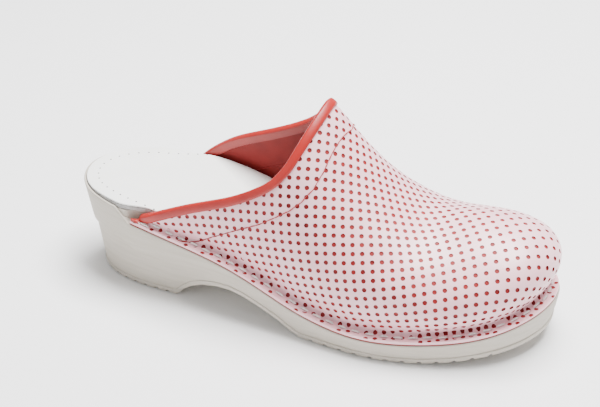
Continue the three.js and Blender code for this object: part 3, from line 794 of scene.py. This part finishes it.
def stitchPlaces(side):
    share, run = flangeRun(side, stitches["inset"], stitches["first"])
    count = round(run[-1] / stitches["pitch"] - 0.5)
    pitch = run[-1] / (count + 0.5)
    at = run[-1] - pitch * (np.arange(count + 1)[::-1])
    return np.interp(at, run, share), run, share, at


def upperGrid(side, columnStep, wallRows):
    # shares and levels of a grid over one side of the upper
    share, run = flangeRun(outer, shoe["edgeMargin"])
    count = max(8, round(run[-1] / columnStep))
    foot = np.interp(np.linspace(0, run[-1], count + 1), run, share)
    foot = np.unique(np.concatenate([foot, [0.172, 0.184, vampFoot]]))
    top = np.interp(foot, column(columnTable, 0), column(columnTable, 1))
    reach = collarLevel(side, top)[:, None]
    n = len(flangeLevels)
    total = n + wallRows
    j = np.arange(total)[None, :]
    over = (j + 1 - n) / wallRows
    even = lerp(-1.0, reach, j / (total - 1))
    fixed = np.array(flangeLevels + [0] * wallRows)[None, :]
    shaped = np.where(j < n, fixed, reach * over)
    level = lerp(even, shaped, smooth(reach, 0, 0.3))
    along = lerp(foot[:, None], top[:, None], np.maximum(over, 0))
    return along + 0 * level, level, top


def dentDepth(side, along, level):
    # small hollows under the stitches
    places = stitchPlaces(side)[0]
    x, y = insetPoint(side, along, stitches["inset"])
    cx, cy = insetPoint(side, places, stitches["inset"])
    face = leatherPoint(side, along, level)
    depth = np.zeros(along.shape)
    for px, py in zip(cx, cy):
        lengthwise = np.hypot(x - px, y - py) / (stitches["dentLength"] * stitches["length"])
        across = np.hypot(face[..., 0] - x, face[..., 1] - y) / stitches["dentWidth"]
        hollow = np.clip(1 - lengthwise ** 2, 0, 1) * np.clip(1 - across ** 2, 0, 1)
        depth = np.maximum(depth, hollow)
    return stitches["dentDepth"] * smooth(depth, 0, 1) * (level < 0.05)


def upperSheet(columnStep, wallRows, dented):
    # both sides as one list of columns, from the outer tail round the toe to the inner tail
    sheets = []
    for side in (outer, inner):
        along, level, top = upperGrid(side, columnStep, wallRows)
        face = leatherPoint(side, along, level)
        normal = leatherNormal(side, along, level)
        dent = dentDepth(side, along, level) if dented else 0 * level
        face = face - normal * dent[..., None]
        sheets.append((side, along, level, top, face, normal))
    return sheets


def layerMesh(columnStep, wallRows, outside, inside):
    # a closed layer between two depths under the leather's outer face
    points, faces, start = [], [], 0
    for side, along, level, top, face, normal in upperSheet(columnStep, wallRows, True):
        rows, cols = face.shape[0], face.shape[1]
        out = face - normal * outside
        within = face - normal * inside
        points += [out.reshape(-1, 3), within.reshape(-1, 3)]
        size = rows * cols
        outFaces = gridFaces(rows, cols, start)
        inFaces = [f[::-1] for f in gridFaces(rows, cols, start + size)]
        edge = []
        for i in range(rows - 1):
            a, b = start + i * cols, start + (i + 1) * cols
            edge.append((a, b, b + size, a + size))
            if top[i + 1] <= shoe["throatAlong"] + 1e-9 and top[i] < shoe["throatAlong"] - 1e-9:
                c, d = a + cols - 1, b + cols - 1
                edge.append((d, c, c + size, d + size))
        for j in range(cols - 1):
            a = start + j
            edge.append((a + 1, a, a + size, a + size + 1))
        faces += outFaces + inFaces + edge
        start += 2 * size
    return np.concatenate(points), faces


def spreadPlan(side, along, level):
    # the sheet seen from above with its wall pushed outwards, so that nothing overlaps
    foot = np.stack(insetPoint(side, along, flangeAt(along)), -1)
    ridgeTop = ridgePoint(ribTopAlong(along))[..., :2]
    wall = lerp(foot, ridgeTop, np.clip(level, 0, 1)[..., None])
    return np.where(level[..., None] < 0, leatherPoint(side, along, level)[..., :2], wall)


def patternSheet():
    # a coarse sheet of the whole outer face: corners, their plan, normals, keys and triangles
    parts = [[], [], [], []]
    faces, start = [], 0
    sheets = upperSheet(pattern["columnStep"], pattern["wallRows"], False)
    for side, along, level, top, face, normal in sheets:
        key = np.stack([along, level, np.full(along.shape, side)], -1)
        for part, values in zip(parts, (face, spreadPlan(side, along, level), normal, key)):
            part.append(values.reshape(-1, values.shape[-1]))
        faces += gridFaces(*face.shape[:2], start)
        start += along.size
    corners, plan, normals, keys = (np.concatenate(part) for part in parts)
    _, first, same = np.unique(np.round(corners, 2), axis=0, return_index=True,
                               return_inverse=True)
    same = same.ravel()
    triangles = []
    for a, b, c, d in faces:
        triangles += [(same[a], same[b], same[c]), (same[a], same[c], same[d])]
    triangles = np.array([t for t in triangles if len(set(t)) == 3])
    return corners[first], plan[first], normals[first], keys[first], triangles


def layFlat(corners, plan, triangles):
    # every triangle is turned to fit its neighbours, over and over, until the sheet lies
    # flat with as little stretch as it can
    a, b, c = (corners[triangles[:, k]] for k in range(3))
    along = b - a
    width = np.linalg.norm(along, axis=1)
    u = along / width[:, None]
    normal = unit(np.cross(along, c - a))
    v = np.cross(normal, u)
    own = np.zeros((len(triangles), 3, 2))
    own[:, 1, 0] = width
    own[:, 2, 0] = ((c - a) * u).sum(1)
    own[:, 2, 1] = ((c - a) * v).sum(1)
    p, q, r = (plan[triangles[:, k]] for k in range(3))
    flipped = ((q - p)[:, 0] * (r - p)[:, 1] - (q - p)[:, 1] * (r - p)[:, 0]) < 0
    own[flipped, :, 1] *= -1
    edges = [(0, 1, 2), (1, 2, 0), (2, 0, 1)]
    weights = []
    for i, j, k in edges:
        e, f = own[:, i] - own[:, k], own[:, j] - own[:, k]
        cross = np.abs(e[:, 0] * f[:, 1] - e[:, 1] * f[:, 0])
        weights.append(np.clip((e * f).sum(1) / np.maximum(cross, 1e-9), 0.05, 20))
    n = len(corners)
    system = np.zeros((n, n))
    for (i, j, k), w in zip(edges, weights):
        for s, t in ((i, j), (j, i)):
            np.add.at(system, (triangles[:, s], triangles[:, s]), w)
            np.add.at(system, (triangles[:, s], triangles[:, t]), -w)
    system[0, 0] += 1.0
    solved = np.linalg.inv(system)
    flat = plan.copy()
    for _ in range(pattern["rounds"]):
        now = flat[triangles]
        cosine, sine = np.zeros(len(triangles)), np.zeros(len(triangles))
        for (i, j, k), w in zip(edges, weights):
            d, g = own[:, i] - own[:, j], now[:, i] - now[:, j]
            cosine += w * (d * g).sum(1)
            sine += w * (d[:, 0] * g[:, 1] - d[:, 1] * g[:, 0])
        size = np.maximum(np.hypot(cosine, sine), 1e-12)
        cosine, sine = cosine / size, sine / size
        pull = np.zeros((n, 2))
        for (i, j, k), w in zip(edges, weights):
            d = own[:, i] - own[:, j]
            turned = np.stack([cosine * d[:, 0] - sine * d[:, 1], sine * d[:, 0] + cosine * d[:, 1]], -1)
            np.add.at(pull, triangles[:, i], w[:, None] * turned)
            np.add.at(pull, triangles[:, j], -w[:, None] * turned)
        flat = solved @ pull
    return flat


def layLattice(flat, corners, keys):
    # the throat is the pattern's origin and the ridge ahead of it lies along +x
    ridgeRow = np.where(keys[:, 1] > 1 - 1e-6)[0]
    throat = flat[ridgeRow[np.argmin(corners[ridgeRow, 0])]]
    ahead = flat[ridgeRow[np.argmax(corners[ridgeRow, 0])]] - throat
    turn = math.atan2(ahead[1], ahead[0])
    spin = np.array([[math.cos(turn), math.sin(turn)], [-math.sin(turn), math.cos(turn)]])
    return (flat - throat) @ spin.T


def latticePoints():
    # the dots' lattice is drawn on the flat pattern and read back on the shoe
    corners, plan, normals, keys, triangles = patternSheet()
    flat = layLattice(layFlat(corners, plan, triangles), corners, keys)
    low, high = flat.min(0), flat.max(0)
    pitch, turn = upper["dotPitch"], math.radians(upper["dotTurn"])
    reach = math.ceil(np.abs(np.concatenate([low, high])).max() * 1.5 / pitch)
    steps = np.arange(-reach, reach + 1) * pitch
    gx, gy = np.meshgrid(steps + upper["dotShift"][0], steps + upper["dotShift"][1])
    dots = np.stack([gx.ravel() * math.cos(turn) - gy.ravel() * math.sin(turn),
                     gx.ravel() * math.sin(turn) + gy.ravel() * math.cos(turn)], -1)
    a, b, c = (flat[triangles[:, k]] for k in range(3))
    whole = (b[:, 0] - a[:, 0]) * (c[:, 1] - a[:, 1]) - (b[:, 1] - a[:, 1]) * (c[:, 0] - a[:, 0])
    whole = np.where(np.abs(whole) < 1e-9, 1e-9, whole)
    centres, axes = [], []
    for dot in dots:
        if (dot < low).any() or (dot > high).any():
            continue
        wb = ((dot[0] - a[:, 0]) * (c[:, 1] - a[:, 1]) - (dot[1] - a[:, 1]) * (c[:, 0] - a[:, 0])) / whole
        wc = ((b[:, 0] - a[:, 0]) * (dot[1] - a[:, 1]) - (b[:, 1] - a[:, 1]) * (dot[0] - a[:, 0])) / whole
        hit = np.where((wb >= 0) & (wc >= 0) & (wb + wc <= 1))[0]
        if len(hit) == 0:
            continue
        k = hit[0]
        weights = np.array([1 - wb[k] - wc[k], wb[k], wc[k]])
        centres.append(weights @ corners[triangles[k]])
        axes.append(weights @ normals[triangles[k]])
    return np.array(centres), unit(np.array(axes))


points, faces = layerMesh(upper["columnStep"], upper["wallRows"], 0.0, upper["leatherLayer"])
leather = makeMesh("upper_leather", points, faces, None, sharp=0, weld=0.02)
print("leather sheet made:", len(faces), "faces")
dots, dotAxes = latticePoints()
leather.data.materials.append(paleLeather)
cutWith(leather, roundPegs("dotPegs", dots, dotAxes, upper["dotDiameter"] / 2, upper["dotDepth"],
                           upper["dotSides"], redDots))
finishPiece(leather, None, "upper", "upper", 38)
print("perforations cut:", len(dots), "leaving", len(leather.data.polygons), "faces")

points, faces = layerMesh(upper["liningStep"], upper["liningRows"],
                          upper["leatherLayer"] + upper["liningGap"], shoe["leather"])
makeMesh("upper_lining", points, faces, redLining, "binding", "upper", sharp=50, weld=0.02)
print("lining made")


# Binding folded over the collar
def collarPath(step):
    # side and share of the length at each ring, from the outer tail over the throat
    tops = np.array(column(columnTable, 1))
    tops = np.unique(tops[tops <= shoe["throatAlong"] + 1e-9])
    fine = []
    for a, b in zip(tops[:-1], tops[1:]):
        count = max(1, math.ceil((b - a) * shoe["soleLength"] / step))
        fine += list(np.linspace(a, b, count + 1)[:-1])
    fine.append(tops[-1])
    return [(outer, a) for a in fine] + [(inner, a) for a in fine[::-1][1:]]


def foldedStrip(outerLeg, innerLeg, gap, thickness):
    # section as distances down the face and out from it, round the leather's cut edge
    outside, near = gap + thickness, gap
    middle = -shoe["leather"] / 2
    radiusOut, radiusIn = outside - middle, near - middle
    section = [(outerLeg, near * 0.6), (outerLeg + 0.1, outside * 0.55),
               (outerLeg - 0.35, outside * 0.93)]
    section += [(outerLeg * share, outside * (1 + binding["tuck"] * math.sin(math.pi * share)))
                for share in (0.75, 0.5, 0.25)]
    for angle in np.linspace(0, math.pi, 11):
        section.append((-outside * math.sin(angle), middle + radiusOut * math.cos(angle)))
    leather = shoe["leather"]
    section += [(innerLeg * 0.5, -leather - outside), (innerLeg - 0.3, -leather - outside),
                (innerLeg, -leather - outside * 0.6), (innerLeg, -leather - near * 0.6),
                (innerLeg * 0.5, -leather - near)]
    for angle in np.linspace(math.pi, 0, 9):
        section.append((-near * math.sin(angle), middle + radiusIn * math.cos(angle)))
    section.append((outerLeg * 0.5, near))
    return section


def sweepCollar(section, step):
    # the section swept along the collar; distances down the face follow the leather
    places = collarPath(step)
    side = np.array([place[0] for place in places])
    along = np.array([place[1] for place in places])
    pick = (side == outer)[:, None]
    both = lambda shape, *at: np.where(pick, shape(outer, *at), shape(inner, *at))
    level = np.where(side == outer, collarLevel(outer, along), collarLevel(inner, along))
    centres, normals = both(leatherPoint, along, level), both(leatherNormal, along, level)
    last = len(places) - 1
    order = np.arange(last + 1)
    run = centres[np.minimum(order + 1, last)] - centres[np.maximum(order - 1, 0)]
    edge = unit(np.cross(normals, run))
    small = 0.004
    at = lambda a, l: both(leatherPoint, a, np.minimum(l, 1))
    alongStep = (at(along + small, level) - at(along - small, level)) / (2 * small)
    levelStep = (at(along, level) - at(along, level - 2 * small)) / (2 * small)
    dot = lambda v, w: (v * w).sum(1)
    aa, al, ll = dot(alongStep, alongStep), dot(alongStep, levelStep), dot(levelStep, levelStep)
    whole = aa * ll - al * al
    rings = []
    for down, out in section:
        if down <= 0:
            rings.append(centres + normals * out - edge * down)
            continue
        a, l = dot(-edge * down, alongStep), dot(-edge * down, levelStep)
        newAlong = along + (a * ll - l * al) / whole
        newLevel = np.clip(level + (l * aa - a * al) / whole, -1, 1)
        rings.append(both(leatherPoint, newAlong, newLevel) + both(leatherNormal, newAlong, newLevel) * out)
    return np.stack(rings, 1)


section = foldedStrip(binding["outerLeg"], binding["innerLeg"], binding["gap"], binding["thickness"])
rings = sweepCollar(section, binding["step"])
count = len(section)
faces = gridFaces(len(rings), count, wrap=True)
faces.append(list(range(count))[::-1])
faces.append([(len(rings) - 1) * count + k for k in range(count)])
makeMesh("collar_binding_strip", rings.reshape(-1, 3), faces, redBinding, "binding",
         "collar_binding", sharp=55)
print("binding made:", len(faces), "faces")


# Threads
def capsule(centre, along, up, length, thickness, bow):
    # one short stitch, bowed over what it holds down
    rings, sides, flatten = 9, 8, 0.75
    along, up = unit(np.asarray(along)), unit(np.asarray(up))
    across = np.cross(up, along)
    points = []
    for i in range(rings):
        t = -1 + 2 * i / (rings - 1)
        radius = thickness / 2 * math.sqrt(max(1 - abs(t) ** 3.2, 0.012))
        base = centre + along * t * length / 2 - up * bow * t * t
        for k in range(sides):
            angle = 2 * math.pi * k / sides
            points.append(base + across * radius * math.cos(angle)
                          + up * radius * flatten * math.sin(angle))
    faces = gridFaces(rings, sides, wrap=True)
    faces.append(list(range(sides))[::-1])
    faces.append([(rings - 1) * sides + k for k in range(sides)])
    return points, faces


def joinShapes(name, shapes, material):
    # many threads as one piece that rides the shoe
    points, faces = [], []
    for more, moreFaces in shapes:
        start = len(points)
        points += list(more)
        faces += [[start + k for k in face] for face in moreFaces]
    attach(makeMesh(name, np.array(points), faces, material, sharp=60, weld=1e-5), "root")


def faceAtInset(side, along, inset):
    # point and normal of the leather where it lies an inset from the outline
    flange = flangeAt(along)
    radius = shoe["filletRadius"]
    level = np.where(inset < flange - radius,
                     (inset - shoe["edgeMargin"]) / (flange - radius - shoe["edgeMargin"]) * 0.6 - 1,
                     -0.4 + 0.4 * np.arcsin(np.clip((inset - flange + radius) / radius, -1, 1))
                     / (math.pi / 2))
    return leatherPoint(side, along, level), leatherNormal(side, along, level)


random.seed(7)
shapes = []
for side in (outer, inner):
    places = stitchPlaces(side)[0]
    for along in places:
        if along > 1 - 1e-9 and side == inner:
            continue
        wobble = random.uniform(-stitches["wobble"], stitches["wobble"])
        here, normal = faceAtInset(side, along, stitches["inset"] + wobble)
        if along > 1 - 1e-6:
            direction = np.array([0.0, 1.0, 0.0])
        else:
            near = 0.0015
            ahead, _ = faceAtInset(side, min(along + near, 1.0), stitches["inset"] + wobble)
            back, _ = faceAtInset(side, along - near, stitches["inset"] + wobble)
            direction = ahead - back
        skew = [random.uniform(-stitches["skew"], stitches["skew"]) for _ in range(3)]
        direction = direction + np.array(skew) * np.linalg.norm(direction)
        lift = stitches["thickness"] * 0.375 - stitches["dentDepth"] + stitches["lift"]
        shapes.append(capsule(here + normal * lift, direction, normal,
                              stitches["length"] * random.uniform(0.92, 1.05),
                              stitches["thickness"], stitches["bow"]))
joinShapes("flange_stitches", shapes, paleThread)
print("stitches made:", len(shapes))

seams = {
    "thickness": 0.62,
    "wave": 4.2,              # length of one stitch
    "lift": 0.12,
    "swing": 0.25,            # how far the thread rises and falls
    # from the ridge ahead of the throat down to the flange: share of the length, level
    "route": [(0.580, 0.995), (0.573, 0.884), (0.567, 0.765), (0.561, 0.636), (0.551, 0.536),
              (0.533, 0.447), (0.512, 0.382), (0.486, 0.330), (0.450, 0.269), (0.412, 0.216),
              (0.378, 0.159), (0.342, 0.091), (0.304, 0.004), (0.289, -0.369), (0.280, -0.557),
              (0.269, -0.778)],
    "liningFirst": 4,         # where the seam starts inside, counted along the route
    "liningLast": -3,
}


def seamThread(side, route, depth):
    # a thread sewn along a route on the leather's face, or a depth under it
    route = np.array(route)
    corners = leatherPoint(side, route[:, 0], route[:, 1])
    run = np.concatenate([[0], np.cumsum(np.linalg.norm(np.diff(corners, axis=0), axis=1))])
    at = np.arange(0, run[-1], seams["wave"] / 8)
    along, level = np.interp(at, run, route[:, 0]), np.interp(at, run, route[:, 1])
    face, normal = leatherPoint(side, along, level), leatherNormal(side, along, level)
    outward = normal if depth == 0 else -normal
    wave = np.abs(np.sin(at * math.pi / seams["wave"]))
    centres = face - normal * depth + outward * (seams["lift"] + seams["swing"] * (wave - 0.6))[:, None]
    across = unit(np.cross(outward, np.gradient(centres, axis=0)))
    radius = (seams["thickness"] / 2 * (0.7 + 0.3 * wave))[:, None]
    sides = 7
    rings = []
    for k in range(sides):
        angle = 2 * math.pi * k / sides
        rings.append(centres + across * radius * math.cos(angle) + outward * radius * math.sin(angle))
    faces = gridFaces(len(at), sides, wrap=True)
    faces.append(list(range(sides))[::-1])
    faces.append([(len(at) - 1) * sides + k for k in range(sides)])
    return np.stack(rings, 1).reshape(-1, 3), faces


shapes = [seamThread(side, seams["route"], 0) for side in (outer, inner)]
joinShapes("seam_threads", shapes, redThread)
insideRoute = seams["route"][seams["liningFirst"]:seams["liningLast"]]
shapes = [seamThread(side, insideRoute, shoe["leather"]) for side in (outer, inner)]
joinShapes("lining_seam_threads", shapes, redThread)

# Loose strands that hold the binding's ends on the flange: share of the length, level, turn
tailStrands = {
    "places": [(0.1770, -0.62, -0.10), (0.1840, -0.50, 0.12), (0.1910, -0.38, 0.22),
               (0.1960, -0.58, -0.04)],
    "length": 4.8,
    "thickness": 1.1,
    "lift": 0.75,
    "bow": 0.45,
}
shapes = []
for side in (outer, inner):
    for along, level, turn in tailStrands["places"]:
        here, normal = leatherPoint(side, along, level), leatherNormal(side, along, level)
        near = 0.004
        direction = unit(leatherPoint(side, along + near, level)
                         - leatherPoint(side, along - near, level))
        direction = direction + np.cross(normal, direction) * turn
        shapes.append(capsule(here + normal * tailStrands["lift"], direction, normal,
                              tailStrands["length"], tailStrands["thickness"],
                              tailStrands["bow"]))
joinShapes("binding_end_strands", shapes, paleThread)
print("seam threads and end strands made")

# Floor, light and camera
floorMaterial, _, floorShader = newMaterial("paleFloor")
floorShader.inputs["Base Color"].default_value = (0.93, 0.93, 0.935, 1)
floorShader.inputs["Roughness"].default_value = 0.75
floorMesh = bpy.data.meshes.new("floor")
floorHalf = 6.0
floorCorners = [(-floorHalf, -floorHalf, 0), (floorHalf, -floorHalf, 0),
                (floorHalf, floorHalf, 0), (-floorHalf, floorHalf, 0)]
floorMesh.from_pydata(floorCorners, [], [(0, 1, 2, 3)])
floorMesh.materials.append(floorMaterial)
floorPlane = bpy.data.objects.new("floor", floorMesh)
bpy.context.scene.collection.objects.link(floorPlane)

world = bpy.data.worlds.new("studio")
world.use_nodes = True
world.node_tree.nodes["Background"].inputs["Color"].default_value = (1.0, 0.99, 0.985, 1)
world.node_tree.nodes["Background"].inputs["Strength"].default_value = 0.62
bpy.context.scene.world = world


def softLight(name, place, aim, width, height, power):
    light = bpy.data.lights.new(name, "AREA")
    light.shape = "RECTANGLE"
    light.size = width
    light.size_y = height
    light.energy = power
    obj = bpy.data.objects.new(name, light)
    obj.location = place
    obj.rotation_euler = (Vector(aim) - Vector(place)).to_track_quat("-Z", "Y").to_euler()
    bpy.context.scene.collection.objects.link(obj)


softLight("topSoftbox", (0.15, 0.25, 1.25), (0.02, 0.0, 0.03), 0.9, 0.7, 66)
softLight("frontFill", (-0.9, -1.3, 0.75), (0.0, 0.0, 0.04), 1.2, 0.9, 4)

cameraView = {
    "azimuth": 23.0,
    "elevation": 30.9,
    "roll": -0.69,
    "distance": 770.7,
    "target": (117.15, 20.32, 40.0),
    "focalPixels": 1418.6,
    "imageWidth": 600,
    "sensorWidth": 36,
}


def makeCamera():
    azimuth, elevation = math.radians(cameraView["azimuth"]), math.radians(cameraView["elevation"])
    roll = math.radians(cameraView["roll"])
    back = np.array([math.sin(azimuth) * math.cos(elevation),
                     -math.cos(azimuth) * math.cos(elevation), math.sin(elevation)])
    level = np.array([math.cos(azimuth), math.sin(azimuth), 0])
    upward = np.cross(back, level)
    right = level * math.cos(roll) + upward * math.sin(roll)
    up = upward * math.cos(roll) - level * math.sin(roll)
    eye = toFrame(np.array(cameraView["target"]) + back * cameraView["distance"])
    camera = bpy.data.cameras.new("camera")
    camera.sensor_fit = "HORIZONTAL"
    camera.sensor_width = cameraView["sensorWidth"]
    camera.lens = cameraView["focalPixels"] / cameraView["imageWidth"] * cameraView["sensorWidth"]
    camera.clip_start = 0.01
    obj = bpy.data.objects.new("camera", camera)
    turn = Matrix((right, up, back)).transposed().to_4x4()
    obj.matrix_world = Matrix.Translation(Vector(eye)) @ turn
    bpy.context.scene.collection.objects.link(obj)
    bpy.context.scene.camera = obj


makeCamera()
